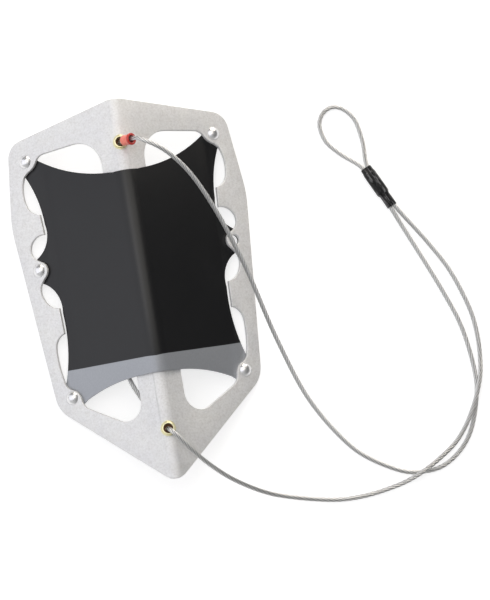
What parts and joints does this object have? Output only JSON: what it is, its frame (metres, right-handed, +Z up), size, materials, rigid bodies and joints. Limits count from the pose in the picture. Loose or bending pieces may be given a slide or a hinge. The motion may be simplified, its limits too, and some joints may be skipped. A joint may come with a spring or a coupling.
{
  "type": "snow fluke anchor",
  "caption": "Folded aluminium snow anchor plate with scalloped windows, a black flexible centre sheet and a wire rope bridle that ends in a clip-in eye.",
  "frame": {"origin": "centre of the plate's bounding box at the surface it rests on", "axes": "+X across the plate to the right wing and the bridle, +Y along the ridge toward the head, +Z up out of the ridge"},
  "size_m": [0.3127, 0.2971, 0.0646],
  "materials": {
    "plate": "bead-blasted, satin",
    "sheet": "satin black flexible plastic with a plain pale grey printed band at its lower edge",
    "rivet": "polished",
    "washer": "plain",
    "grommet": "pale, polished",
    "stop": "crimped",
    "marker": "red, slightly glossy",
    "cable": "galvanised strands",
    "ferrule": "swaged",
    "shrink": "glossy black"
  },
  "bodies": {
    "anchor": {"frame_plate": "plate", "centre_sheet": "sheet", "rivet_left_upper": "rivet", "rivet_left_middle": "rivet", "rivet_left_lower": "rivet", "rivet_right_upper": "rivet", "rivet_right_lower": "rivet", "washer_left_upper": "washer", "washer_left_middle": "washer", "washer_left_lower": "washer", "washer_right_upper": "washer", "washer_right_lower": "washer", "grommet_upper": "grommet", "grommet_lower": "grommet", "stop_upper": "stop", "stop_lower": "stop", "cable_upper_leg": "cable", "cable_lower_leg": "cable", "cable_back_run": "cable", "swage_ferrule": "ferrule", "shrink_sleeve": "shrink"},
    "marker": {"marker_sleeve": "marker"}
  },
  "joints": [
    {"name": "marker_slide", "type": "slide", "parent": "anchor", "child": "marker", "axis": [0.6568, -0.1654, 0.7357], "range_m": [0, 0.005]}
  ]
}
